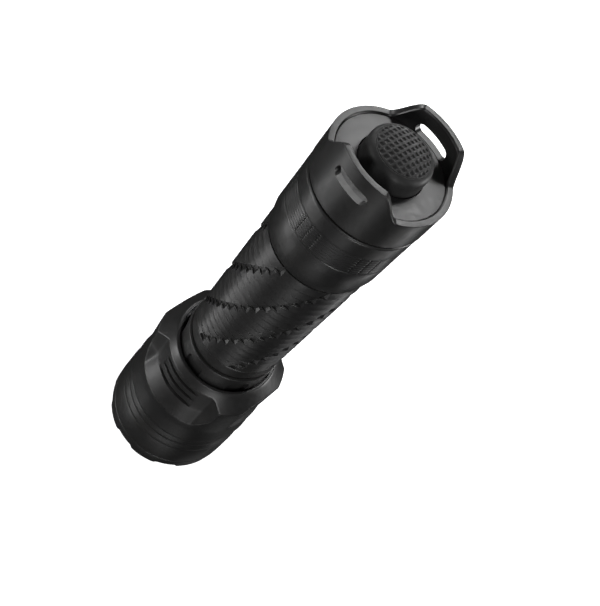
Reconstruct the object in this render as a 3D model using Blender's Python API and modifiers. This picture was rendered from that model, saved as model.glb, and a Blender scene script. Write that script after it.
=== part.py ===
"""Tactical flashlight, standing on its bezel: head and neck, scaled battery tube, tail cap with crown ears
and a rubber switch boot.

Frame: metres, +Z up from the plane of the bezel's front edge (z = 0) to the tail, axis of the light on Z.
One crown ear and one head pocket face -Y.
"""

from math import acos, cos, pi, radians, sin

import bmesh
import bpy

MM = 0.001

# Driving dimensions, in millimetres, heights above the bezel's front plane
TUBE_R, TUBE_BORE_R = 12.7, 11.0
RIM_Z, EAR_Z, CROWN_R, CROWN_BORE_R = 136.2, 141.3, 13.3, 11.75
EAR_FLAT, EAR_FOOT = 24.0, 48.5  # half angles in degrees: flat top of an ear, and where it meets the rim
BARREL_R, BARREL_TOP, BARREL_LOW, BARREL_BORE_R = 13.2, 127.7, 108.2, 12.08
SCALE_TOP, SCALE_LOW, SCALE_PITCH, SCALE_STEP = 107.3, 62.9, 2.63, 0.4
HELIX_STARTS, HELIX_DEG_PER_MM, HELIX_DEPTH = 7, 2.874, 1.0
NECK_TOP, NECK_LOW, NECK_R = 57.6, 49.7, 13.05
HEAD_TOP, HEAD_LOW, HEAD_R, HEAD_BORE_R = 51.25, 5.2, 18.7, 12.3
POCKET_FLOOR_R, POCKET_FLAT, POCKET_RAMP_TOP, POCKET_END = 15.9, 12.5, 39.6, 34.4
SIDE_FLAT, SIDE_RAMP_TOP = 17.3, 38.7
SLOT_Z, SLOT_WIDTH, SLOT_FLAT_R = (47.4, 43.8, 40.2), 1.3, 14.65
BEZEL_R, BEZEL_NOTCH = 19.72, 1.7
BOOT_R, BOOT_TOP, BOOT_TRAVEL = 6.9, 141.1, 1.8
CELL_R, CELL_LOW, CELL_TOP = 10.7, 42.2, 112.2


# Finishes: base colour, metallic, roughness
FINISHES = {
    "anodised": ((0.020, 0.020, 0.022), 1.0, 0.38), "rubber": ((0.025, 0.025, 0.026), 0.0, 0.62),
    "seal": ((0.015, 0.015, 0.016), 0.0, 0.5), "board": ((0.01, 0.07, 0.03), 0.0, 0.45),
    "board_metal": ((0.75, 0.76, 0.78), 1.0, 0.3), "plated": ((0.83, 0.62, 0.32), 1.0, 0.25),
    "white_plastic": ((0.8, 0.8, 0.78), 0.0, 0.5), "black_plastic": ((0.02, 0.02, 0.02), 0.0, 0.45),
    "mirror": ((0.9, 0.9, 0.9), 1.0, 0.06), "glass": ((0.95, 0.98, 0.97), 0.0, 0.02),
    "phosphor": ((0.85, 0.72, 0.12), 0.0, 0.4), "cell_wrap": ((0.05, 0.09, 0.35), 0.0, 0.35),
    "black_oxide": ((0.035, 0.034, 0.034), 1.0, 0.45),
}
FINISH_OF = {
    "tail_crown": "anodised", "tail_barrel": "anodised", "battery_tube": "anodised", "neck_ring": "anodised",
    "head_housing": "anodised", "bezel_ring": "anodised", "retainer_plate": "anodised",
    "switch_boot": "rubber", "boot_gasket": "rubber", "crown_oring": "seal", "tube_oring_rear": "seal",
    "tube_oring_front": "seal", "lens_oring": "seal", "switch_board": "board", "driver_board": "board",
    "led_board": "board_metal", "positive_contact": "plated", "tail_spring": "plated",
    "led_centering_ring": "white_plastic", "switch_body": "black_plastic", "switch_plunger": "white_plastic",
    "driver_inductor": "black_plastic", "driver_capacitor": "black_plastic", "reflector": "mirror",
    "lens": "glass", "led_dome": "glass", "led_emitter": "phosphor", "battery_cell": "cell_wrap",
    "switch_retaining_ring": "black_oxide", "driver_retaining_ring": "black_oxide",
}


def clear_scene():
    for obj in list(bpy.data.objects):
        bpy.data.objects.remove(obj, do_unlink=True)


def add(name, mesh):
    obj = bpy.data.objects.new(name, mesh)
    bpy.context.scene.collection.objects.link(obj)
    return obj


def finish(name):
    """The Principled material of one finish."""
    made = bpy.data.materials.get(name)
    if made:
        return made
    colour, metallic, roughness = FINISHES[name]
    made = bpy.data.materials.new(name)
    made.use_nodes = True
    shader = made.node_tree.nodes["Principled BSDF"]
    shader.inputs["Base Color"].default_value = (*colour, 1)
    shader.inputs["Metallic"].default_value = metallic
    shader.inputs["Roughness"].default_value = roughness
    if name == "glass":
        shader.inputs["Transmission Weight"].default_value = 1.0
    return made


def dress_parts():
    """Gather the parts in their collection, each with its finish and smooth round faces."""
    parts = bpy.data.collections.new("tactical_flashlight")
    bpy.context.scene.collection.children.link(parts)
    for name, finish_name in FINISH_OF.items():
        obj = bpy.data.objects[name]
        for home in list(obj.users_collection):
            home.objects.unlink(obj)
        parts.objects.link(obj)
        obj.data.materials.append(finish(finish_name))
        if obj.type == "MESH" and not obj.modifiers:
            obj.data.shade_smooth()
            obj.data.set_sharp_from_angle(angle=radians(35))
        elif obj.modifiers:
            for modifier in obj.modifiers:
                if modifier.type == "SCREW":
                    modifier.use_smooth_shade = True


def mesh_of(name, points, faces):
    mesh = bpy.data.meshes.new(name)
    mesh.from_pydata([(x * MM, y * MM, z * MM) for x, y, z in points], [], faces)
    mesh.update()
    return mesh


def turned(name, profile, steps=48, ring=True, origin_z=0.0):
    """A turned piece: the profile (r, z) runs down the outside; a ring's profile closes on itself."""
    ends = len(profile) if ring else len(profile) - 1
    mesh = bpy.data.meshes.new(name)
    mesh.from_pydata([(r * MM, 0, (z - origin_z) * MM) for r, z in profile],
                     [(i, (i + 1) % len(profile)) for i in range(ends)], [])
    obj = add(name, mesh)
    obj.location.z = origin_z * MM
    screw = obj.modifiers.new("Turn", "SCREW")
    screw.axis, screw.angle, screw.screw_offset = "Z", 2 * pi, 0
    screw.steps = screw.render_steps = steps
    screw.use_merge_vertices, screw.merge_threshold = True, 0.00001
    screw.use_normal_calculate = False
    return obj


def stacked(name, rows, roll=0):
    """A closed ring of rows, each a list of (radius, angle in radians, z): down the outside, up the inside.

    The last row meets the first one, rolled round by this many points."""
    count = len(rows[0])
    points = [(r * cos(a), r * sin(a), z) for row in rows for r, a, z in row]
    faces = []
    for i in range(len(rows)):
        j = (i + 1) % len(rows)
        shift = roll if j == 0 else 0
        for k in range(count):
            n, k2, n2 = (k + 1) % count, (k + shift) % count, (k + 1 + shift) % count
            faces.append((i * count + k, j * count + k2, j * count + n2, i * count + n))
    return add(name, mesh_of(name, points, faces))


def solid_between(name, rows):
    """A closed body from flat polygons (x, y, z) with the same number of points, joined in order."""
    count = len(rows[0])
    points = [p for row in rows for p in row]
    faces = [tuple(reversed(range(count))), tuple(range((len(rows) - 1) * count, len(rows) * count))]
    for i in range(len(rows) - 1):
        for k in range(count):
            n = (k + 1) % count
            faces.append((i * count + k, i * count + n, (i + 1) * count + n, (i + 1) * count + k))
    mesh = mesh_of(name, points, faces)
    work = bmesh.new()
    work.from_mesh(mesh)
    bmesh.ops.recalc_face_normals(work, faces=work.faces)
    work.to_mesh(mesh)
    work.free()
    return add(name, mesh)


def box(name, size, centre, turn=0.0):
    bpy.ops.mesh.primitive_cube_add(size=1, location=[c * MM for c in centre], rotation=(0, 0, turn))
    obj = bpy.context.object
    obj.name = name
    obj.scale = [s * MM for s in size]
    return obj


def torus(name, r, section, z):
    bpy.ops.mesh.primitive_torus_add(location=(0, 0, z * MM), major_radius=r * MM, minor_radius=section * MM,
                                     major_segments=32, minor_segments=5)
    bpy.context.object.name = name
    return bpy.context.object


def cut(obj, cutters):
    """Subtract helpers from a piece, and hide them."""
    group = bpy.data.collections.new(obj.name + "_cutters")
    bpy.context.scene.collection.children.link(group)
    for cutter in cutters:
        for home in list(cutter.users_collection):
            home.objects.unlink(cutter)
        group.objects.link(cutter)
        cutter.hide_render, cutter.display_type = True, "WIRE"
    modifier = obj.modifiers.new("Cut", "BOOLEAN")
    modifier.operation, modifier.solver = "DIFFERENCE", "EXACT"
    modifier.operand_type, modifier.collection = "COLLECTION", group


def smooth_step(t):
    t = min(1.0, max(0.0, t))
    return t * t * (3 - 2 * t)


def ear_height(angle):
    """Height of the crown's edge at an angle: two flat-topped ears, at -Y and +Y, on a level rim."""
    off = abs(((angle - 90 + 90) % 180) - 90)
    return RIM_Z + (EAR_Z - RIM_Z) * smooth_step((EAR_FOOT - off) / (EAR_FOOT - EAR_FLAT))


def tail_crown():
    """The tail's outer ring, with two ears, a seat for the boot and a spigot into the barrel."""
    marks = [EAR_FLAT - 6, EAR_FLAT, 28, 32, 36, 40, EAR_FOOT, 52, 60, 70, 80, 90]
    half = [0.0, 9.0] + marks
    quarter = half[:-1] + [180 - m for m in reversed(half)][:-1]
    angles = [radians(a + 90) for a in quarter] + [radians(a + 270) for a in quarter]
    tops = [ear_height(a * 180 / pi) for a in angles]

    def row(r, z=None, drop=0.0):
        return [(r, a, z if z is not None else top - drop) for a, top in zip(angles, tops)]

    outside = [row(CROWN_R - 0.25), row(CROWN_R, drop=0.25), row(CROWN_R, 128.6), row(12.55, 128.6),
               row(12.55, 127.9), row(11.9, 127.9), row(11.9, 126.2), row(11.35, 126.2), row(11.35, 125.0),
               row(11.9, 125.0), row(11.9, 122.2)]
    inside = [row(10.6, 122.2), row(10.6, 133.6), row(CROWN_BORE_R, 133.6), row(CROWN_BORE_R, drop=0.4),
              row(CROWN_BORE_R + 0.4)]
    crown = stacked("tail_crown", outside + inside)
    cutters = []
    for side in (-1, 1):
        outline = [(3.05 * e + 1.15 * cos(t), 1.15 * sin(t)) for e, first in ((1, -90), (-1, 90))
                   for t in [radians(first + 22.5 * k) for k in range(9)]]
        rows = [[(x, side * 12.5 + y, 136.95 + z) for x, z in outline] for y in (-2.5, 2.5)]
        cutters.append(solid_between("lanyard_slot", rows))
    cut(crown, cutters)
    return crown


def barrel_columns():
    """Angles around the barrel, and whether each is the bottom of one of its eighteen V cuts."""
    columns = []
    for group in range(6):
        for k, low in ((-23, 0), (-11, 0), (-9.7, 1), (-8.4, 0), (-1.3, 0), (0, 1), (1.3, 0),
                       (8.4, 0), (9.7, 1), (11, 0), (23, 0)):
            columns.append((radians(-91 + 60 * group + k), low))
    return columns


def tail_barrel():
    """The tail cap's body, with a band of six saw-tooth rings crossed by V cuts."""
    columns = barrel_columns()

    def row(r, z, depth=0.0):
        return [(r - (depth if low else 0), a, z) for a, low in columns]

    rows = [row(BARREL_R - 0.3, BARREL_TOP), row(BARREL_R, BARREL_TOP - 0.3), row(BARREL_R, 123.6)]
    z = 123.4
    for _ in range(6):
        rows += [row(BARREL_R - 0.15, z, 0.35), row(BARREL_R - 0.02, z - 0.86, 0.35)]
        z -= 0.92
    rows += [row(BARREL_R, z - 0.1), row(BARREL_R, 111.6), row(12.65, BARREL_LOW)]
    rows += [row(BARREL_BORE_R, BARREL_LOW), row(BARREL_BORE_R, BARREL_TOP)]
    return stacked("tail_barrel", rows)


def battery_tube():
    """The tube: saw-tooth scale rings, seven helical grooves, and a threaded spigot at each end."""
    start = -77 + 4.4  # a groove's centre at the scales' middle height
    offsets = ((-25.7, 0.0), (-14.0, 0.0), (-2.2, 0.0), (-1.2, 1.0), (1.2, 1.0), (4.6, 0.0), (14.0, 0.0))

    def row(r, z, groove=1, turn=None):
        if turn is None:
            turn = HELIX_DEG_PER_MM * (min(SCALE_TOP, max(SCALE_LOW, z)) - 94.4)
        angles = [start + turn + 360 / HELIX_STARTS * k + a for k in range(HELIX_STARTS) for a, _ in offsets]
        lows = [low for _ in range(HELIX_STARTS) for _, low in offsets]
        return [(min(r, TUBE_R - HELIX_DEPTH) if low and groove else r, radians(a), z)
                for a, low in zip(angles, lows)]

    rows = [row(11.9, 116.2), row(11.9, 111.2, 0), row(11.35, 111.2, 0), row(11.35, 110.0, 0),
            row(11.9, 110.0, 0), row(11.9, SCALE_TOP, 0), row(TUBE_R - 0.3, SCALE_TOP)]
    z = 105.05
    rows.append(row(TUBE_R, z + 0.05))
    while z > SCALE_LOW + 1:
        rows += [row(TUBE_R - SCALE_STEP, z), row(TUBE_R, max(z - SCALE_PITCH + 0.1, SCALE_LOW + 0.2))]
        z -= SCALE_PITCH
    rows += [row(TUBE_R, SCALE_LOW, 0), row(TUBE_R, 59.1, 0), row(12.2, 58.6, 0), row(12.2, 47.2, 0),
             row(11.65, 47.2, 0), row(11.65, 46.1, 0), row(12.2, 46.1, 0), row(12.2, 40.7, 0),
             row(TUBE_BORE_R, 40.7, 0)]
    # Up the bore, the columns lean back to meet the first row two starts round
    low = HELIX_DEG_PER_MM * (SCALE_LOW - 94.4)
    high = HELIX_DEG_PER_MM * (SCALE_TOP - 94.4) - 2 * 360 / HELIX_STARTS
    rows += [row(TUBE_BORE_R, 40.7 + 75.5 * k / 4, 0, low + (high - low) * k / 4) for k in range(1, 5)]
    return stacked("battery_tube", rows, -2 * len(offsets))


def neck_ring():
    """The ring between the tube and the head, with six notches open towards the head."""
    columns = [(radians(-91 + 60 * g + k), low) for g in range(6)
               for k, low in ((-30, 0), (-21, 0), (-12.5, 0), (-12.3, 1), (-4, 1), (4, 1), (12.3, 1), (12.5, 0),
                              (21, 0))]

    def row(r, z, depth=0.0):
        return [(r - (depth if low else 0), a, z) for a, low in columns]

    return stacked("neck_ring", [row(NECK_R - 0.2, NECK_TOP), row(NECK_R, NECK_TOP - 0.2), row(NECK_R, 55.0),
                                 row(NECK_R, 54.9, 0.65), row(NECK_R, NECK_LOW, 0.65), row(12.3, NECK_LOW),
                                 row(12.3, NECK_TOP)])


def pocket_outline(out):
    """One head pocket's cross-section in its own frame, +X outwards: a round floor between two flats, grown by out."""
    floor_r, flat = POCKET_FLOOR_R + out, POCKET_FLAT + out
    half = acos(flat / floor_r)
    floor = [(floor_r * cos(half * k / 4), floor_r * sin(half * k / 4)) for k in range(-4, 5)]
    return [(flat, -15.4)] + floor + [(flat, 15.4), (24, 17.0), (24, -17.0)]


def head_pocket(angle):
    """Cutter for one pocket: straight from above the head down to the ramp, which runs out to the surface."""
    rows = []
    for z, out in ((POCKET_END - 1.0, 2.85), (POCKET_RAMP_TOP, 0.0), (HEAD_TOP + 2, 0.0)):
        rows.append([(x * cos(angle) - y * sin(angle), x * sin(angle) + y * cos(angle), z)
                     for x, y in pocket_outline(out)])
    return solid_between("pocket", rows)


def side_flat(angle):
    """Cutter for the flat between two lands: straight down to a slow ramp that runs out to the surface."""
    turns = [radians(t) for t in (-26, -17, -8.5, 0, 8.5, 17, 26)]
    flat = [(SIDE_FLAT, SIDE_FLAT * sin(t) / cos(t)) for t in turns]
    arc = [(18.74 * cos(t), 18.74 * sin(t)) for t in turns]
    rows = []
    for outline, z in ((arc, 31.5), (flat, SIDE_RAMP_TOP), (flat, HEAD_TOP + 2)):
        points = outline + [(24, 12.0), (24, -12.0)]
        rows.append([(x * cos(angle) - y * sin(angle), x * sin(angle) + y * cos(angle), z) for x, y in points])
    return solid_between("side_flat", rows)


def head_housing():
    """The head: two cooling pockets and two side flats behind, grip lands in front, cavities inside."""
    outside = [(14.45, HEAD_TOP), (14.9, 50.9), (HEAD_R, 46.8), (HEAD_R, 44.2), (18.45, 33.2), (18.4, 29.2),
               (18.95, 23.4), (18.5, 23.2), (18.5, 21.2), (19.1, 21.0), (19.15, 19.1), (18.7, 18.9),
               (18.7, 17.2), (19.25, 17.0), (19.3, 15.1), (19.1, 15.0), (19.4, 14.8), (19.7, HEAD_LOW)]
    # The shelf between the front and rear cavities is pierced for the wires
    inside = [(17.7, HEAD_LOW), (17.7, 9.2), (16.9, 9.2), (16.9, 28.2), (1.5, 28.2), (1.5, 34.2), (11.4, 34.2),
              (11.4, 37.0), (HEAD_BORE_R, 37.0), (HEAD_BORE_R, 48.3), (14.4, 48.3)]
    head = turned("head_housing", outside + inside, 60)
    cutters = [side_flat(0.0), side_flat(pi)]
    for turn in (radians(-90), radians(90)):
        cutters.append(head_pocket(turn))
        for z in SLOT_Z:
            mid = SLOT_FLAT_R + 2.5
            cutters.append(box("slot", (5, 14, SLOT_WIDTH), (mid * cos(turn), mid * sin(turn), z), turn))
    cut(head, cutters)
    return head


def bezel_ring():
    """The front ring, with eight shallow notches in its edge and a spigot into the head."""
    columns = [(radians(-90 + 45 * g + k), low) for g in range(8)
               for k, low in ((-22.5, 0), (-16, 0), (-10.5, 0), (-9, 1), (0, 1), (9, 1), (10.5, 0), (16, 0))]

    def row(r, z, lift=0.0):
        return [(r, a, z + (lift if low else 0)) for a, low in columns]

    rows = [row(17.6, 8.7), row(17.6, 5.1), row(19.6, 5.1), row(BEZEL_R, 4.9), row(BEZEL_R, 0.3, BEZEL_NOTCH),
            row(BEZEL_R - 0.3, 0, BEZEL_NOTCH), row(17.4, 0, BEZEL_NOTCH), row(15.8, 2.4), row(15.8, 5.9),
            row(16.7, 5.9), row(16.7, 8.7)]
    return stacked("bezel_ring", rows)


def switch_boot():
    """The rubber cap over the switch: it moves as one piece, along the axis."""
    dome = [(6.3 * sin(t), 140.35 + (BOOT_TOP - 140.35) * cos(t)) for t in (0, 0.4, 0.8, 1.2)]
    profile = dome + [(6.3, 140.35), (6.68, 140.15), (6.87, 139.75), (BOOT_R, 139.3), (BOOT_R, 133.4),
                      (5.8, 133.4), (5.8, 139.2), (0, 139.2)]
    return turned("switch_boot", profile, 32, ring=False, origin_z=133.4)


def tail_spring():
    """The spring that carries the cell's negative end, closed at both ends."""
    turns, per_turn, wire, coil, closed = 5.0, 12, 0.42, 4.2, 0.8
    low, high, lay = CELL_TOP + 0.1 + wire, 120.75 - wire, 2.16 * wire
    count = int(turns * per_turn)
    curve = bpy.data.curves.new("tail_spring", "CURVE")
    curve.dimensions, curve.use_fill_caps = "3D", True
    curve.bevel_depth, curve.bevel_resolution = wire * MM, 1
    spline = curve.splines.new("POLY")
    spline.points.add(count)
    for i in range(count + 1):
        turn = turns * i / count
        flat = min(turn, closed) + max(0.0, turn - turns + closed)
        rise = min(1.0, max(0.0, (turn - closed) / (turns - 2 * closed)))
        z = low + lay * flat + (high - low - 2 * lay * closed) * rise
        a = 2 * pi * turn
        spline.points[i].co = (coil * cos(a) * MM, coil * sin(a) * MM, z * MM, 1)
    obj = bpy.data.objects.new("tail_spring", curve)
    bpy.context.scene.collection.objects.link(obj)
    return obj


def reflector():
    inner = [(4.2 + 11.8 * ((24.4 - z) / 15.4) ** 0.62, z) for z in (24.4, 23.6, 22.4, 20.4, 17.5, 14, 11, 9.0)]
    outer = [(16.7, 9.0), (16.7, 10.2), (15.9, 10.4), (13.9, 14.6), (11.9, 18.4), (9.4, 22.0), (7.2, 24.4)]
    return turned("reflector", list(reversed(outer)) + list(reversed(inner)), 32)


def electronics():
    """Driver, emitter and the switch's fixed parts."""
    turned("switch_body", [(0, 124.0), (1.95, 124.0), (1.95, 129.8), (7.6, 129.8), (7.6, 122.15), (0, 122.15)],
           28, ring=False)
    turned("switch_board", [(0, 122.05), (11.8, 122.05), (11.8, 120.85), (0, 120.85)], 36, ring=False)
    turned("switch_retaining_ring", [(11.85, 120.75), (11.85, 118.25), (9.0, 118.25), (9.0, 120.75)], 36)
    turned("positive_contact", [(0, 40.8), (2.6, 40.8), (3.2, 40.2), (3.2, 38.8), (0, 38.8)], 24, ring=False)
    turned("driver_retaining_ring", [(12.2, 40.6), (12.2, 38.8), (9.4, 38.8), (9.4, 40.6)], 36)
    turned("driver_board", [(0, 38.7), (12.2, 38.7), (12.2, 37.1), (0, 37.1)], 36, ring=False)
    box("driver_inductor", (5.0, 5.0, 2.2), (-4.5, 2.0, 35.9))
    turned("led_board", [(0, 28.1), (10.0, 28.1), (10.0, 26.5), (0, 26.5)], 36, ring=False)
    box("led_emitter", (5.0, 5.0, 0.8), (0, 0, 26.0))
    dome = [(2.2 * sin(t), 25.5 - 2.2 * cos(t) * 0.9) for t in (1.3, 1.0, 0.7, 0.4, 0)]
    turned("led_dome", [(0, 25.5), (2.2, 25.5)] + dome, 20, ring=False)
    turned("led_centering_ring", [(6.6, 26.4), (6.6, 24.6), (3.9, 24.6), (3.9, 26.4)], 28)


def main():
    clear_scene()
    tail_crown()
    turned("retainer_plate", [(11.6, 135.8), (11.6, 134.8), (7.15, 134.8), (7.15, 135.8)], 40)
    turned("boot_gasket", [(11.6, 134.7), (11.6, 133.7), (7.2, 133.7), (7.2, 134.7)], 36)
    switch_boot()
    turned("switch_plunger", [(0, 139.1), (2.6, 139.1), (2.6, 137.6), (1.8, 137.6), (1.8, 126.3), (0, 126.3)],
           20, ring=False, origin_z=126.3)
    tail_barrel()
    tail_spring()
    battery_tube()
    turned("battery_cell", [(0, CELL_TOP), (10.3, CELL_TOP), (CELL_R, CELL_TOP - 0.4), (CELL_R, CELL_LOW + 0.4),
                            (10.3, CELL_LOW), (4.0, CELL_LOW), (4.0, CELL_LOW - 1.3), (0, CELL_LOW - 1.3)],
           28, ring=False)
    torus("crown_oring", 11.68, 0.25, 125.6)
    torus("tube_oring_rear", 11.68, 0.25, 110.6)
    torus("tube_oring_front", 11.98, 0.25, 46.65)
    torus("lens_oring", 16.2, 0.32, 6.3)
    neck_ring()
    head_housing()
    bezel_ring()
    reflector()
    turned("lens", [(0, 8.8), (16.6, 8.8), (16.6, 6.7), (0, 6.7)], 48, ring=False)
    electronics()
    box("driver_capacitor", (3.2, 1.6, 1.8), (3.6, -3.4, 36.1))
    dress_parts()


main()
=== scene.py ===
"""Looks of the tactical flashlight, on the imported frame: fine shapes for everything seen from outside, procedural
materials for every piece, a pale floor, soft round lights and the camera.

The light stands on its bezel with its axis on Z, so shapes are rings of rows. A row is a list of (radius,
angle in degrees, height), in millimetres; most come from a turned profile, and cuts change the radius by angle.
"""

from math import ceil, cos, radians, sin, sqrt

import bmesh
import bpy
import numpy as np
from mathutils import Matrix, Vector

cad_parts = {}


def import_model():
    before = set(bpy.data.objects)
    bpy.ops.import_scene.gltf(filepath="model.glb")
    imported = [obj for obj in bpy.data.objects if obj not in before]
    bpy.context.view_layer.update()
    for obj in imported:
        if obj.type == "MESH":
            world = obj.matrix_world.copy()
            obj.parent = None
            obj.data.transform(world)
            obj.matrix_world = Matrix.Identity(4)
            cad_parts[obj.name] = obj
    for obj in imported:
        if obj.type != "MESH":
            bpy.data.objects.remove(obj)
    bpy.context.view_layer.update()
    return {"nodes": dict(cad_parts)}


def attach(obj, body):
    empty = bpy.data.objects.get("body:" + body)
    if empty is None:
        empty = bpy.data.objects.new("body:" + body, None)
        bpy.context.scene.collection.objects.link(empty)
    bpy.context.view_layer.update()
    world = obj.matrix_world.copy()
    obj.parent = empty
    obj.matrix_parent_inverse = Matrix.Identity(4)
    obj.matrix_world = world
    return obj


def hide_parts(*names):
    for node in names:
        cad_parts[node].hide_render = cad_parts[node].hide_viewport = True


MM = 0.001
SHARP_ANGLE = 32.0

# Sizes in millimetres, with heights above the bezel's front plane, and angles in degrees
RIM_Z, EAR_Z, CROWN_R, CROWN_BORE_R = 136.2, 141.3, 13.3, 11.75
EAR_FLAT, EAR_FOOT = 24.0, 48.5  # half angles: an ear's flat top, and where the ear meets the rim
LANYARD_HALF, LANYARD_R, LANYARD_Z = 2.9, 1.3, 137.15
BARREL_R, RIDGE_TOP, RIDGES, RIDGE_PITCH = 13.2, 123.3, 7, 0.78
NICK_GROUPS, NICK_CENTRES, NICK_START = 6, (-9.6, 0.0, 9.6), -91.5
BOOT_R, BOOT_TOP, WAFFLE_R, WAFFLE_PITCH, WAFFLE_DEPTH = 6.9, 141.1, 5.75, 1.2, 0.24
TUBE_R, SCALE_LOW_R, GROOVE_R = 12.7, 12.27, 12.05
SCALE_TOP, SCALE_LOW, SCALE_PITCH = 107.3, 62.9, 2.63
HELIX_STARTS, HELIX_DEG_PER_MM, HELIX_START, HELIX_START_Z = 7, 2.874, -72.6, 94.4
HELIX_GAP = 360 / HELIX_STARTS
NECK_R, NECK_TOP, NECK_LOW = 13.05, 57.6, 49.7
NECK_NOTCH_LOW, NECK_NOTCH_TOP, NECK_NOTCH_HALF, NECK_NOTCH_DEPTH = 53.2, 55.5, 13.2, 0.65
HEAD_TOP, HEAD_R = 51.25, 18.7
POCKET_FLOOR_R, POCKET_FLAT, POCKET_RAMP_TOP = 15.9, 12.5, 39.6
SIDE_FLAT, SIDE_RAMP_TOP, SIDE_START = 17.3, 38.7, 58
SLOT_Z, SLOT_HALF, SLOT_FLAT_R = (47.4, 43.8, 40.2), 0.7, 14.5
BEZEL_R, BEZEL_NOTCH, BEZEL_NOTCH_STEP = 19.72, 1.3, 45

# Soft round panels, in metres; each has a direction from the point aimed at, and a power in watts
PANEL_DISTANCE, PANEL_SIZE, PANEL_AIM_Z = 0.5, 0.115, 0.07
PANELS = [
    ("panel_01", (0.43, -0.43, 0.79), 0.433), ("panel_02", (-0.03, 0.62, 0.78), 0.478),
    ("panel_03", (-0.28, 0.66, 0.69), 0.285), ("panel_04", (-0.76, 0.39, 0.52), 0.569),
    ("panel_05", (-0.65, -0.66, 0.39), 0.697), ("panel_06", (-0.29, 0.90, 0.32), 0.563),
    ("panel_07", (0.71, 0.67, 0.21), 1.42), ("panel_08", (0.73, -0.66, 0.18), 0.665),
    ("panel_09", (-0.49, -0.87, -0.07), 0.409), ("panel_10", (-0.65, -0.73, -0.22), 0.431),
    ("panel_11", (-0.93, -0.26, -0.27), 0.187), ("panel_12", (0.48, -0.81, -0.34), 0.057),
    ("panel_13", (0.70, 0.46, -0.55), 0.101), ("panel_14", (0.51, -0.64, -0.57), 0.067),
    ("panel_15", (-0.58, -0.56, -0.59), 0.173), ("panel_16", (-0.32, -0.65, -0.68), 0.1),
    ("panel_17", (0.67, 0.26, -0.69), 0.037), ("panel_18", (0.31, -0.63, -0.72), 0.021),
    ("panel_19", (0.43, -0.41, -0.81), 0.013), ("panel_20", (0.33, 0.18, -0.93), 0.006),
]

# Camera: place in metres, its own right, up and forward directions, and lens in millimetres
CAMERA_PLACE = (0.02475, -0.10719, 0.23136)
CAMERA_RIGHT, CAMERA_UP = (0.60227, 0.67518, 0.42591), (-0.79139, 0.43500, 0.42949)
CAMERA_AHEAD = (-0.1047, 0.5957, -0.7963)
CAMERA_LENS, CAMERA_SENSOR = 46.20, 36.0

# CAD nodes shown as they are, by the material slot they take
CARRIED = {
    "boot_rubber": ["boot_gasket"],
    "seal_rubber": ["crown_oring", "tube_oring_rear", "tube_oring_front", "lens_oring"],
    "circuit_board": ["switch_board", "driver_board"],
    "metal_core_board": ["led_board"],
    "plated_contact": ["positive_contact", "tail_spring"],
    "white_plastic": ["led_centering_ring", "switch_plunger"],
    "black_plastic": ["switch_body", "driver_inductor", "driver_capacitor"],
    "reflector_mirror": ["reflector"],
    "lens_glass": ["lens", "led_dome"],
    "phosphor": ["led_emitter"],
    "cell_wrap": ["battery_cell"],
    "black_oxide_ring": ["switch_retaining_ring", "driver_retaining_ring"],
}


# ---------------------------------------------------------------- mesh helpers

def smooth_step(t):
    t = min(1.0, max(0.0, t))
    return t * t * (3 - 2 * t)


def soft_max(a, b, k):
    """The larger of two heights, with a fillet about k wide where they cross."""
    return (a + b + sqrt((a - b) ** 2 + k * k)) / 2


def soft_min(a, b, k):
    return -soft_max(-a, -b, k)


def span(low, high, step):
    """Values from low to high, about a step apart, without the last one."""
    count = max(1, int(ceil(abs(high - low) / step)))
    return [low + (high - low) * i / count for i in range(count)]


def rounded(profile, radius=0.15, arc=4, ring=True):
    """A profile (r, z) with each corner turned into a small arc."""
    out, count = [], len(profile)
    for i, (r, z) in enumerate(profile):
        if not ring and i in (0, count - 1):
            out.append((r, z))
            continue
        here = Vector((r, z))
        back, ahead = Vector(profile[i - 1]) - here, Vector(profile[(i + 1) % count]) - here
        if back.length < 1e-6 or ahead.length < 1e-6 or back.angle(ahead) > radians(168):
            out.append((r, z))
            continue
        cut = min(radius, back.length * 0.45, ahead.length * 0.45)
        start, end = here + back.normalized() * cut, here + ahead.normalized() * cut
        for k in range(arc + 1):
            t = k / arc
            point = start * (1 - t) ** 2 + here * 2 * t * (1 - t) + end * t * t
            out.append((point.x, point.y))
    return out


def add_mesh(name, points, faces):
    """An object from points in millimetres, with its faces turned outward."""
    mesh = bpy.data.meshes.new(name)
    mesh.from_pydata([(x * MM, y * MM, z * MM) for x, y, z in points], [], faces)
    work = bmesh.new()
    work.from_mesh(mesh)
    bmesh.ops.remove_doubles(work, verts=work.verts, dist=1e-6)
    bmesh.ops.recalc_face_normals(work, faces=work.faces)
    work.to_mesh(mesh)
    work.free()
    obj = bpy.data.objects.new(name, mesh)
    bpy.context.scene.collection.objects.link(obj)
    return obj


def shade(mesh, sharp=SHARP_ANGLE):
    """Smooth faces, with edges over an angle in degrees left sharp."""
    mesh.shade_smooth()
    mesh.set_sharp_from_angle(angle=radians(sharp))


def finish_mesh(name, points, faces, body, material, replaces, slot, sharp=SHARP_ANGLE):
    """A shown piece from points in millimetres: shaded, riding on its body and standing for its CAD nodes."""
    obj = add_mesh(name, points, faces)
    shade(obj.data, sharp)
    obj.data.materials.append(material)
    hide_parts(*replaces)
    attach(obj, body)
    return obj


def ring_faces(rows, count, roll=0):
    """Quads of a closed ring of rows, the last row meeting the first one rolled round by this many points."""
    faces = []
    for i in range(rows):
        j = (i + 1) % rows
        shift = roll if j == 0 else 0
        for k in range(count):
            n = (k + 1) % count
            faces.append((i * count + k, j * count + (k + shift) % count, j * count + (n + shift) % count,
                          i * count + n))
    return faces


def levels(profile, angles):
    """A level row at each (r, z) of a profile."""
    return [[(r, a, z) for a in angles] for r, z in profile]


def places(rows):
    """The points of some rows, in X, Y and Z."""
    return [(r * cos(radians(a)), r * sin(radians(a)), z) for row in rows for r, a, z in row]


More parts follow.
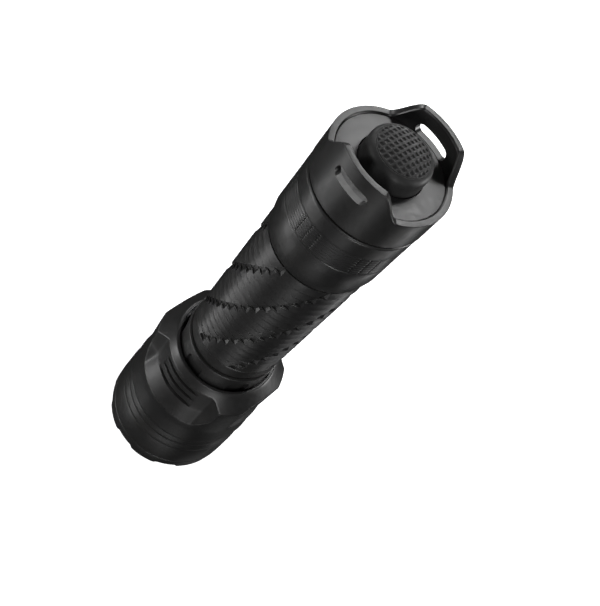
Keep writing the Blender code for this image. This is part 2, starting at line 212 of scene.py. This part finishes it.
def stacked(name, rows, body, material, roll=0, **more):
    """A closed ring of rows: down the outside, up the inside."""
    return finish_mesh(name, places(rows), ring_faces(len(rows), len(rows[0]), roll), body, material, **more)


def cut(obj, cutters):
    """Subtract closed helper meshes from a piece, and drop them."""
    for cutter in cutters:
        modifier = obj.modifiers.new("Cut", "BOOLEAN")
        modifier.operation, modifier.solver, modifier.object = "DIFFERENCE", "EXACT", cutter
    bpy.context.view_layer.update()
    evaluated = obj.evaluated_get(bpy.context.evaluated_depsgraph_get())
    mesh = bpy.data.meshes.new_from_object(evaluated)
    obj.modifiers.clear()
    obj.data = mesh
    shade(mesh)
    for cutter in cutters:
        bpy.data.objects.remove(cutter)


# ---------------------------------------------------------------- materials

class Nodes:
    """A material's node tree, with short calls for the nodes used here."""

    def __init__(self, name):
        self.material = bpy.data.materials.new(name)
        self.material.use_nodes = True
        self.tree = self.material.node_tree
        self.shader = self.tree.nodes["Principled BSDF"]
        self.place = self.add("ShaderNodeTexCoord").outputs["Object"]

    def add(self, kind, **settings):
        node = self.tree.nodes.new(kind)
        for key, value in settings.items():
            setattr(node, key, value)
        return node

    def link(self, source, target):
        self.tree.links.new(source, target)

    def noise(self, scale, detail=3.0, stretch=None):
        """Noise with features about 1 / scale metres across, drawn out along an axis by a stretch vector."""
        node = self.add("ShaderNodeTexNoise")
        node.inputs["Scale"].default_value, node.inputs["Detail"].default_value = scale, detail
        place = self.place
        if stretch:
            mapping = self.add("ShaderNodeMapping")
            mapping.inputs["Scale"].default_value = stretch
            self.link(place, mapping.inputs["Vector"])
            place = mapping.outputs["Vector"]
        self.link(place, node.inputs["Vector"])
        return node.outputs["Fac"]

    def ramp(self, factor, stops):
        node = self.add("ShaderNodeValToRGB")
        ramp = node.color_ramp
        while len(ramp.elements) < len(stops):
            ramp.elements.new(0.5)
        for element, (position, colour) in zip(ramp.elements, stops):
            element.position, element.color = position, (*colour, 1)
        self.link(factor, node.inputs["Fac"])
        return node.outputs["Color"]

    def range(self, value, low, high, start=0.3, end=0.7):
        node = self.add("ShaderNodeMapRange")
        for key, number in (("From Min", start), ("From Max", end), ("To Min", low), ("To Max", high)):
            node.inputs[key].default_value = number
        self.link(value, node.inputs["Value"])
        return node.outputs["Result"]

    def bump(self, height, distance, strength):
        node = self.add("ShaderNodeBump")
        node.inputs["Distance"].default_value, node.inputs["Strength"].default_value = distance, strength
        self.link(height, node.inputs["Height"])
        return node.outputs["Normal"]

    def set(self, **values):
        for key, value in values.items():
            self.shader.inputs[key.replace("_", " ")].default_value = value


def anodised():
    """Hard black anodising: blasted grain under a satin sheen, with a painted highlight that makes sharp edges a little
    paler.
    """
    n = Nodes("black_anodised_finish")
    cloud, grain = n.noise(90, 2), n.noise(8000, 2)
    colour = n.ramp(cloud, [(0.3, (0.0125, 0.0125, 0.0128)), (0.7, (0.0175, 0.0172, 0.0168))])
    # Painted highlight: sharp edges, found by pointiness, get a paler colour mixed into the base colour, standing for
    # light caught on rounded edges.
    painted_edge_highlight = n.add("ShaderNodeNewGeometry").outputs["Pointiness"]
    mix = n.add("ShaderNodeMix", data_type="RGBA")
    n.link(n.range(painted_edge_highlight, 0.0, 0.35, 0.53, 0.62), mix.inputs["Factor"])
    n.link(colour, mix.inputs[6])
    mix.inputs[7].default_value = (0.05, 0.049, 0.047, 1)
    n.link(mix.outputs[2], n.shader.inputs["Base Color"])
    n.link(n.range(n.noise(700, 4), 0.33, 0.41), n.shader.inputs["Roughness"])
    n.link(n.bump(grain, 0.000006, 0.35), n.shader.inputs["Normal"])
    n.set(Specular_IOR_Level=0.5)
    return n.material


def rubber(name="boot_rubber_finish", low=0.010, high=0.016):
    n = Nodes(name)
    n.link(n.ramp(n.noise(260, 3), [(0.3, (low,) * 3), (0.7, (high,) * 3)]), n.shader.inputs["Base Color"])
    n.link(n.range(n.noise(900, 3), 0.52, 0.66), n.shader.inputs["Roughness"])
    n.link(n.bump(n.noise(3800, 3), 0.00002, 0.4), n.shader.inputs["Normal"])
    n.set(Specular_IOR_Level=0.45)
    return n.material


def metal(name, low, high, roughness, turned_marks=True):
    """Bare or plated metal with fine turning marks round the axis."""
    n = Nodes(name)
    stretch = (0.02, 0.02, 1.0) if turned_marks else None
    marks = n.noise(9000, 2, stretch)
    n.link(n.ramp(marks, [(0.3, low), (0.7, high)]), n.shader.inputs["Base Color"])
    n.link(n.range(n.noise(800, 3), roughness - 0.04, roughness + 0.06), n.shader.inputs["Roughness"])
    n.link(n.bump(marks, 0.000008, 0.4), n.shader.inputs["Normal"])
    n.set(Metallic=1.0)
    return n.material


def plastic(name, low, high, roughness=0.45):
    n = Nodes(name)
    n.link(n.ramp(n.noise(400, 3), [(0.3, low), (0.7, high)]), n.shader.inputs["Base Color"])
    n.link(n.range(n.noise(1500, 2), roughness - 0.05, roughness + 0.08), n.shader.inputs["Roughness"])
    n.link(n.bump(n.noise(4500, 2), 0.00001, 0.4), n.shader.inputs["Normal"])
    return n.material


def board(name, mask, tracks):
    """Circuit board: solder mask with copper tracks showing paler through it."""
    n = Nodes(name)
    lines = n.add("ShaderNodeTexVoronoi", feature="DISTANCE_TO_EDGE")
    lines.inputs["Scale"].default_value = 420
    n.link(n.place, lines.inputs["Vector"])
    n.link(n.ramp(lines.outputs["Distance"], [(0.05, tracks), (0.12, mask)]), n.shader.inputs["Base Color"])
    n.link(n.range(n.noise(900, 2), 0.28, 0.4), n.shader.inputs["Roughness"])
    n.link(n.bump(lines.outputs["Distance"], 0.00003, 0.3), n.shader.inputs["Normal"])
    return n.material


def glass():
    n = Nodes("lens_glass_finish")
    n.link(n.range(n.noise(300, 3), 0.015, 0.035), n.shader.inputs["Roughness"])
    n.link(n.ramp(n.noise(60, 1), [(0.3, (0.93, 0.97, 0.98)), (0.7, (0.97, 0.99, 0.96))]),
           n.shader.inputs["Base Color"])
    n.set(Transmission_Weight=1.0, IOR=1.5)
    return n.material


def phosphor():
    n = Nodes("phosphor_finish")
    n.link(n.ramp(n.noise(2500, 3), [(0.3, (0.78, 0.62, 0.08)), (0.7, (0.88, 0.76, 0.18))]),
           n.shader.inputs["Base Color"])
    n.link(n.bump(n.noise(6000, 2), 0.00001, 0.4), n.shader.inputs["Normal"])
    n.set(Roughness=0.45)
    return n.material


def cell_wrap():
    """Heat-shrunk film round the cell, with a soft gloss and faint shrink wrinkles."""
    n = Nodes("cell_wrap_finish")
    n.link(n.ramp(n.noise(120, 2), [(0.3, (0.03, 0.06, 0.22)), (0.7, (0.04, 0.08, 0.28))]),
           n.shader.inputs["Base Color"])
    n.link(n.range(n.noise(500, 3), 0.22, 0.34), n.shader.inputs["Roughness"])
    n.link(n.bump(n.noise(260, 3, (1, 1, 0.3)), 0.00006, 0.3), n.shader.inputs["Normal"])
    return n.material


def make_finishes():
    """One material per slot of the record."""
    return {
        "black_anodised": anodised(),
        "boot_rubber": rubber(),
        "seal_rubber": rubber("seal_rubber_finish", 0.008, 0.014),
        "circuit_board": board("circuit_board_finish", (0.006, 0.06, 0.025), (0.02, 0.11, 0.05)),
        "metal_core_board": board("metal_core_board_finish", (0.72, 0.73, 0.75), (0.5, 0.5, 0.5)),
        "plated_contact": metal("plated_contact_finish", (0.80, 0.58, 0.28), (0.88, 0.68, 0.38), 0.24),
        "white_plastic": plastic("white_plastic_finish", (0.74, 0.74, 0.71), (0.80, 0.80, 0.78)),
        "black_plastic": plastic("black_plastic_finish", (0.012, 0.012, 0.012), (0.022, 0.022, 0.022)),
        "reflector_mirror": metal("reflector_mirror_finish", (0.88, 0.88, 0.87), (0.93, 0.93, 0.92), 0.07, False),
        "lens_glass": glass(),
        "phosphor": phosphor(),
        "cell_wrap": cell_wrap(),
        "black_oxide_ring": metal("black_oxide_finish", (0.028, 0.027, 0.027), (0.045, 0.044, 0.043), 0.42),
    }


# ---------------------------------------------------------------- tail cap

def ear_height(angle):
    """Height of the crown's edge: two flat-topped ears, at -Y and +Y, on a level rim."""
    off = abs((angle % 180) - 90)
    return RIM_Z + (EAR_Z - RIM_Z) * smooth_step((EAR_FOOT - off) / (EAR_FOOT - EAR_FLAT))


def lanyard_cutter(side):
    """A slot with round ends, straight through an ear."""
    outline = [(LANYARD_HALF * e + LANYARD_R * cos(radians(t)), LANYARD_Z + LANYARD_R * sin(radians(t)))
               for e, first in ((1, -90), (-1, 90)) for t in range(first, first + 181, 10)]
    points = [(x, side * sqrt(r * r - x * x), z) for r in (10.5, 14.6) for x, z in outline]
    count = len(outline)
    caps = [tuple(range(count)), tuple(range(count, 2 * count))]
    return add_mesh("slot", points, caps + ring_faces(2, count)[:-count])


def build_crown(finish):
    """The tail's outer ring: its edge follows the ears, and a lanyard slot goes through each."""
    angles = [0.75 * k for k in range(480)]
    edge = rounded([(12.2, 0.0), (CROWN_R, 0.0), (CROWN_R, -1.0)], 0.12, ring=False)
    lip = rounded([(CROWN_BORE_R, -1.0), (CROWN_BORE_R, -0.3), (CROWN_BORE_R + 0.3, 0.0), (12.2, 0.0)], 0.06,
                  ring=False)
    wall = rounded([(CROWN_R, 130.0), (CROWN_R, 128.6), (12.55, 128.6), (12.55, 127.9), (11.9, 127.9), (11.9, 126.2),
                    (11.35, 126.2), (11.35, 125.0), (11.9, 125.0), (11.9, 122.2), (10.6, 122.2), (10.6, 133.6),
                    (CROWN_BORE_R, 133.6), (CROWN_BORE_R, 134.4)], 0.12, ring=False)

    def edge_row(r, drop):
        return [(r, a, ear_height(a) + drop) for a in angles]

    rows = [edge_row(r, drop) for r, drop in edge]
    rows += levels(wall, angles)
    rows += [edge_row(r, drop) for r, drop in lip[:-1]]
    crown = stacked("crown_shell", rows, "tail_cap", finish, replaces=["tail_crown"], slot="black_anodised")
    cut(crown, [lanyard_cutter(-1), lanyard_cutter(1)])


def build_barrel(finish):
    """The tail cap's body: a band of seven shallow ridges, with triangular nicks in six groups of three."""
    plain = [-30.0] + [-28 + 2 * k for k in range(8)]
    between = (2.5, 4.85, 7.2)

    def row(r, z, nick=0.0):
        """One row; the nicks open and deepen with a share from 0 to 1."""
        half, bottom, points = 0.12 + 1.15 * nick, r - 0.34 * nick, []
        for group in range(NICK_GROUPS):
            middle = NICK_START + 360 // NICK_GROUPS * group
            points += [(r, middle + a, z) for a in plain]
            for centre in NICK_CENTRES:
                points += [(r, middle + centre - half, z), (bottom, middle + centre, z),
                           (r, middle + centre + half, z)]
                if centre != NICK_CENTRES[-1]:
                    points += [(r, middle + centre + a, z) for a in between]
            points += [(r, middle - a, z) for a in reversed(plain[1:])]
        return points

    above = rounded([(12.9, 127.7), (BARREL_R, 127.4), (BARREL_R, 124.0)], 0.2, ring=False)
    below = rounded([(BARREL_R, 114.5), (BARREL_R, 111.6), (12.65, 108.2), (12.08, 108.2), (12.08, 127.7)], 0.2,
                    ring=False)
    rows = [row(r, z) for r, z in above + [(BARREL_R, 123.6), (13.16, 123.5), (13.07, 123.4)]]
    for k in range(RIDGES):
        z = RIDGE_TOP - RIDGE_PITCH * k
        rows += [row(13.08, z), row(13.1, z - 0.1, 0.1), row(13.17, z - 0.4, 0.7), row(13.19, z - 0.52, 1.0),
                 row(13.18, z - 0.6, 0.8), row(13.1, z - 0.72)]
    rows += [row(r, z) for r, z in [(13.07, 117.76), (13.07, 117.7), (13.16, 117.58), (BARREL_R, 117.48)] + below]
    stacked("barrel_shell", rows, "tail_cap", finish, replaces=["tail_barrel"], slot="black_anodised")


def build_plate(finish):
    """The flat plate round the boot, its edges just broken."""
    profile = rounded([(11.7, 135.8), (11.7, 134.8), (7.15, 134.8), (7.15, 135.8)], 0.05)
    rows = levels(profile, [2 * k for k in range(180)])
    stacked("plate_ring", rows, "tail_cap", finish, replaces=["retainer_plate"], slot="black_anodised")


def waffle_depth(x, y):
    """How far a pit of the boot's waffle sinks at a point: rounded square pits between flat ridges."""
    def pit(value, offset):
        share = abs((value / WAFFLE_PITCH + offset) % 1 - 0.5) * 2  # 1 on a ridge's middle, 0 in a pit's middle
        return smooth_step((0.82 - share) / 0.5)
    return WAFFLE_DEPTH * pit(x, 0.0) * pit(y, 0.5)


def build_boot(finish):
    """The rubber cap: a waffled dome, a round shoulder, and a skirt that runs down to the clamped rim."""
    steps, rings, crown_rise = 300, 75, 0.85
    angles = [360 * k / steps for k in range(steps)]
    shoulder_z = BOOT_TOP - crown_rise
    rows = []
    for i in range(rings + 1):
        r = max(0.02, WAFFLE_R * i / rings)
        fade = smooth_step((WAFFLE_R - 0.1 - r) / 0.25)
        dome = BOOT_TOP - crown_rise * (r / WAFFLE_R) ** 2
        rows.append([(r, a, dome - waffle_depth(r * cos(radians(a)), r * sin(radians(a))) * fade) for a in angles])
    outside = rounded([(WAFFLE_R, shoulder_z), (WAFFLE_R + 0.06, shoulder_z - 0.1),
                       (WAFFLE_R + 0.16, shoulder_z - 0.02), (6.3, shoulder_z - 0.22), (6.62, shoulder_z - 0.55),
                       (6.83, shoulder_z - 1.0), (BOOT_R, shoulder_z - 1.6)], 0.2, ring=False)
    below = [(BOOT_R, 138.0), (BOOT_R, 136.0), (BOOT_R, 133.4), (5.8, 133.4), (5.8, 139.2), (0.02, 139.2)]
    rows += levels(outside[1:] + below, angles)
    ends = [tuple(range(steps)), tuple(range((len(rows) - 1) * steps, len(rows) * steps))]
    finish_mesh("boot_cover", places(rows), ring_faces(len(rows), steps)[:-steps] + ends, "boot_cap", finish,
                replaces=["switch_boot"], slot="boot_rubber", sharp=60)


# ---------------------------------------------------------------- tube and neck

def build_tube(finish):
    """Scales that flare towards the head, cut by seven helical grooves with a facet on each scale's corner."""
    wall, columns = 0.95, 22  # degrees of a groove's steep side, and a scale's columns

    def flare(share):
        """A scale's radius: a hollow sweep from its tail end out to its lip."""
        return SCALE_LOW_R + (TUBE_R - SCALE_LOW_R) * share ** 1.7

    def scale_row(r, z, tail_z):
        """One row: groove columns follow the helix; the facet widens from the scale's tail end to its lip."""
        share, points = min(1.0, (tail_z - z) / SCALE_PITCH), []
        foot, out = 1.7 + 3.6 * share, 2.1 + 7.7 * share
        end, low = HELIX_GAP - wall, min(r, GROOVE_R)
        for k in range(HELIX_STARTS):
            slit = HELIX_START + HELIX_DEG_PER_MM * (z - HELIX_START_Z) + HELIX_GAP * k
            points += [(low, slit - 0.7, z), (low, slit + foot * 0.5, z), (low, slit + foot, z),
                       (low + (r - low) * 0.5, slit + foot + (out - foot) * 0.5, z), (r, slit + out, z)]
            points += [(r, slit + a, z) for a in span(out, end, (end - out) / columns)[1:]]
            points += [(r, slit + end, z)]
        return points

    def plain_row(r, z):
        """The same columns, all on one radius."""
        turn = min(SCALE_TOP, max(SCALE_LOW, z))
        return [(r, a, z) for _, a, _ in scale_row(r, turn, turn + 0.02)]

    rows = [plain_row(r, z) for r, z in rounded([(11.9, 116.2), (11.9, 111.2), (11.35, 111.2), (11.35, 110.0),
                                                  (11.9, 110.0), (11.9, 107.3)], 0.1, ring=False)]
    tail = 105.05 + SCALE_PITCH
    rows.append(scale_row(SCALE_LOW_R, SCALE_TOP, tail))
    while tail > SCALE_LOW + 0.5:
        start, end = min(tail, SCALE_TOP), max(tail - SCALE_PITCH, SCALE_LOW)
        for z in span(start, end + 0.12, 0.3) + [end + 0.12]:
            share = (tail - z) / SCALE_PITCH
            if z < start or start == SCALE_TOP:
                rows.append(scale_row(flare(share), z, tail))
            else:
                rows.append(scale_row(SCALE_LOW_R - 0.02, z, tail))
        rows.append(scale_row(TUBE_R - 0.04, end + 0.03, tail))
        if end > SCALE_LOW + 0.01:
            rows.append(scale_row(SCALE_LOW_R + 0.05, end + 0.01, end + 0.05))
        tail -= SCALE_PITCH
    rows += [plain_row(TUBE_R - 0.08, SCALE_LOW - 0.02), plain_row(TUBE_R, SCALE_LOW - 0.12)]
    rows += [plain_row(r, z) for r, z in rounded(
        [(TUBE_R, 62.0), (TUBE_R, 59.0), (12.2, 58.7), (12.2, 47.2), (11.65, 47.2), (11.65, 46.1), (12.2, 46.1),
         (12.2, 40.7), (11.0, 40.7)], 0.12, ring=False)]

    # Up the bore, the columns lean back to meet the first row two starts round
    steps, count = 12, len(rows[0]) // HELIX_STARTS
    low, high = (HELIX_DEG_PER_MM * (z - HELIX_START_Z) for z in (SCALE_LOW, SCALE_TOP))
    for k in range(1, steps + 1):
        z, lean = 40.7 + 75.5 * k / steps, (high - 2 * HELIX_GAP - low) * k / steps
        rows.append([(11.0, a + lean, z) for _, a, _ in plain_row(11.0, SCALE_LOW)])
    stacked("scaled_tube", rows, "light_body", finish, roll=-2 * count, replaces=["battery_tube"],
            slot="black_anodised")


def build_neck(finish):
    """The ring between tube and head, with six round-cornered notches open towards the head."""
    angles = [-121 + 0.5 * k for k in range(720)]
    mm_per_degree = 0.228  # round the neck's surface

    def row(r, z):
        corner = min(1.0, max(0.0, (z - NECK_NOTCH_LOW) / 2.3))
        half = NECK_NOTCH_HALF - 10 * (1 - sqrt(1 - corner * corner))
        points = []
        for a in angles:
            off = abs((a + 91 + 30) % 60 - 30)
            inside = min((half - off) * mm_per_degree, NECK_NOTCH_TOP - z)
            points.append((r - NECK_NOTCH_DEPTH * smooth_step(inside / 0.4), a, z))
        return points

    top = rounded([(12.35, NECK_TOP), (NECK_R, NECK_TOP), (NECK_R, 55.6)], 0.25, ring=False)
    sides = [(NECK_R, z) for z in span(55.55, 49.9, 0.2) + [NECK_LOW]]
    rows = [row(r, z) for r, z in top + sides] + levels([(12.35, NECK_LOW)], angles)
    stacked("neck_collar", rows, "light_body", finish, replaces=["neck_ring"], slot="black_anodised")


# ---------------------------------------------------------------- head

def pocket_radius(angle, z):
    """Radius of the cuts behind the head: two pockets, each a round floor between two flats, and two side flats.

    Everything grows out along a ramp towards the front."""
    off = abs((angle + 180) % 180 - 90)
    if off < SIDE_START:
        out = max(0.0, soft_max(0.0, (POCKET_RAMP_TOP - z) * 0.4615, 0.5) - 0.02)
        return soft_max(POCKET_FLOOR_R + out, (POCKET_FLAT + out) / cos(radians(off)), 0.35)
    return soft_max(SIDE_FLAT / cos(radians(90 - off)), SIDE_FLAT + (SIDE_RAMP_TOP - z) * 0.2, 0.12)


def build_head(finish):
    """The head: pockets, side flats and cooling slots behind, two grip grooves and a smooth front."""
    steps, cuts_top, cuts_low = 840, 50.4, 32.0
    angles = [360 * k / steps for k in range(steps)]
    profile = rounded(
        [(13.5, 50.7), (13.5, HEAD_TOP), (14.35, HEAD_TOP), (HEAD_R, 46.8), (HEAD_R, 44.2), (18.45, 33.2), (18.3, 29.3),
         (18.98, 24.3), (19.0, 23.8), (18.6, 23.0), (18.5, 22.4), (18.95, 20.6), (18.97, 20.2), (18.65, 19.3),
         (18.6, 18.6), (19.15, 16.6), (19.2, 16.0), (19.12, 15.4), (19.4, 14.2), (19.7, 5.3), (19.6, 5.2)], 0.3,
        ring=False)
    slot_end = 36  # degrees from a pocket's middle, past where its slots run out
    outside = [p for p in reversed(profile) if p[0] > 14.2]  # without the edge round the neck
    outer_z, outer_r = [z for _, z in outside], [r for r, _ in outside]

    def outer(z):
        return float(np.interp(z, outer_z, outer_r))

    def surface(angle, z):
        return soft_min(outer(z), pocket_radius(angle, z), 0.1) if z > cuts_low + 0.5 else outer(z)

    def row(z, slot=0.0):
        """One row; slot is how much of a cooling slot's depth is cut at this height."""
        points = []
        for a in angles:
            r = surface(a, z)
            off = abs((a + 180) % 180 - 90)
            if slot and off < slot_end:
                r -= max(0.0, r - SLOT_FLAT_R / cos(radians(off))) * slot
            points.append((r, a, z))
        return points

    rows = levels([(r, z) for r, z in profile if z > cuts_top], angles)
    z = cuts_top
    edges = sorted([c + s * SLOT_HALF for c in SLOT_Z for s in (-1, 1)], reverse=True)
    for i, edge in enumerate(edges):
        opening = i % 2 == 0
        rows += [row(v, 0.0 if opening else 1.0) for v in span(z, edge + (0.06 if opening else 0.0), 0.16)]
        if opening:
            rows += [row(edge + 0.06), row(edge, 0.05), row(edge - 0.002, 1.0)]
            z = edge - 0.3
        else:
            rows += [row(edge + 0.002, 1.0), row(edge, 0.05)]
            z = edge - 0.06
    rows += [row(v) for v in span(z, cuts_low, 0.16)]
    rows += levels([(r, z) for r, z in profile if z < cuts_low - 0.1], angles)
    inside = rounded([(17.7, 5.2), (17.7, 9.2), (16.9, 9.2), (16.9, 28.2), (1.5, 28.2), (1.5, 34.2), (11.4, 34.2),
                      (11.4, 37.0), (12.3, 37.0), (12.3, 48.3), (14.4, 48.3), (14.4, 50.4), (13.5, 50.4)], 0.08,
                     arc=2, ring=False)
    rows += levels(inside, angles)
    stacked("head_shell", rows, "light_body", finish, replaces=["head_housing"], slot="black_anodised")


def build_bezel(finish):
    """The front ring: eight shallow notches with sloped ends in its edge."""
    def lift(a):
        off = abs((a + 90 + BEZEL_NOTCH_STEP / 2) % BEZEL_NOTCH_STEP - BEZEL_NOTCH_STEP / 2)
        return BEZEL_NOTCH * smooth_step((11.8 - off) / 4.2)

    angles = [0.75 * k for k in range(480)]
    profile = rounded([(17.6, 8.7), (17.6, 5.1), (19.6, 5.1), (BEZEL_R, 4.95), (BEZEL_R, 0.0), (17.4, 0.0),
                       (15.8, 2.4), (15.8, 5.9), (16.7, 5.9), (16.7, 8.7)], 0.2)
    rows = [[(r, a, z + lift(a) * smooth_step((3.2 - z) / 2.9)) for a in angles] for r, z in profile]
    stacked("bezel_edge", rows, "light_body", finish, replaces=["bezel_ring"], slot="black_anodised")


# ---------------------------------------------------------------- studio

def panel(name, direction, power):
    """A round soft light, looking at the object's middle from a direction."""
    data = bpy.data.lights.new(name, "AREA")
    data.shape, data.size, data.energy = "DISK", PANEL_SIZE, power
    light = bpy.data.objects.new(name, data)
    bpy.context.scene.collection.objects.link(light)
    away = Vector(direction).normalized()
    light.location = Vector((0, 0, PANEL_AIM_Z)) + away * PANEL_DISTANCE
    light.rotation_mode = "QUATERNION"
    light.rotation_quaternion = away.to_track_quat("Z", "Y")
    return light


def build_floor():
    """A pale plain floor, lit evenly so that it stays near white."""
    mesh = bpy.data.meshes.new("floor")
    mesh.from_pydata([(-6, -6, 0), (6, -6, 0), (6, 6, 0), (-6, 6, 0)], [], [(0, 1, 2, 3)])
    floor = bpy.data.objects.new("floor", mesh)
    bpy.context.scene.collection.objects.link(floor)
    n = Nodes("floor_finish")
    n.set(Roughness=0.9, Base_Color=(0.9, 0.9, 0.9, 1), Emission_Color=(1, 1, 1, 1), Emission_Strength=1.0)
    mesh.materials.append(n.material)
    floor.location.z = -0.0005
    floor.visible_shadow = floor.visible_glossy = floor.visible_diffuse = floor.visible_transmission = False


def build_studio():
    """Camera, pale floor and soft panels. The floor takes no part in the lighting, so the panels below it count."""
    scene = bpy.context.scene
    scene.view_settings.view_transform = "Standard"
    world = bpy.data.worlds.new("studio")
    scene.world = world
    world.use_nodes = True
    tree = world.node_tree
    back = tree.nodes["Background"]
    back.inputs["Color"].default_value = (1, 1, 1, 1)
    tree.links.new(tree.nodes.new("ShaderNodeLightPath").outputs["Is Camera Ray"], back.inputs["Strength"])
    build_floor()
    for name, direction, power in PANELS:
        panel(name, direction, power)
    camera = bpy.data.objects.new("camera", bpy.data.cameras.new("camera"))
    scene.collection.objects.link(camera)
    turn = Matrix((CAMERA_RIGHT, CAMERA_UP, [-c for c in CAMERA_AHEAD])).transposed()
    camera.matrix_world = Matrix.Translation(CAMERA_PLACE) @ turn.to_4x4()
    camera.data.lens, camera.data.sensor_width = CAMERA_LENS, CAMERA_SENSOR
    camera.data.clip_start, camera.data.clip_end = 0.01, 20.0
    scene.camera = camera


def main():
    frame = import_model()
    finishes = make_finishes()
    for slot, names in CARRIED.items():
        for name in names:
            node = frame["nodes"][name]
            node.data.materials.clear()
            node.data.materials.append(finishes[slot])
    black, boot = finishes["black_anodised"], finishes["boot_rubber"]
    build_crown(black)
    build_barrel(black)
    build_plate(black)
    build_boot(boot)
    build_tube(black)
    build_neck(black)
    build_head(black)
    build_bezel(black)
    build_studio()


main()
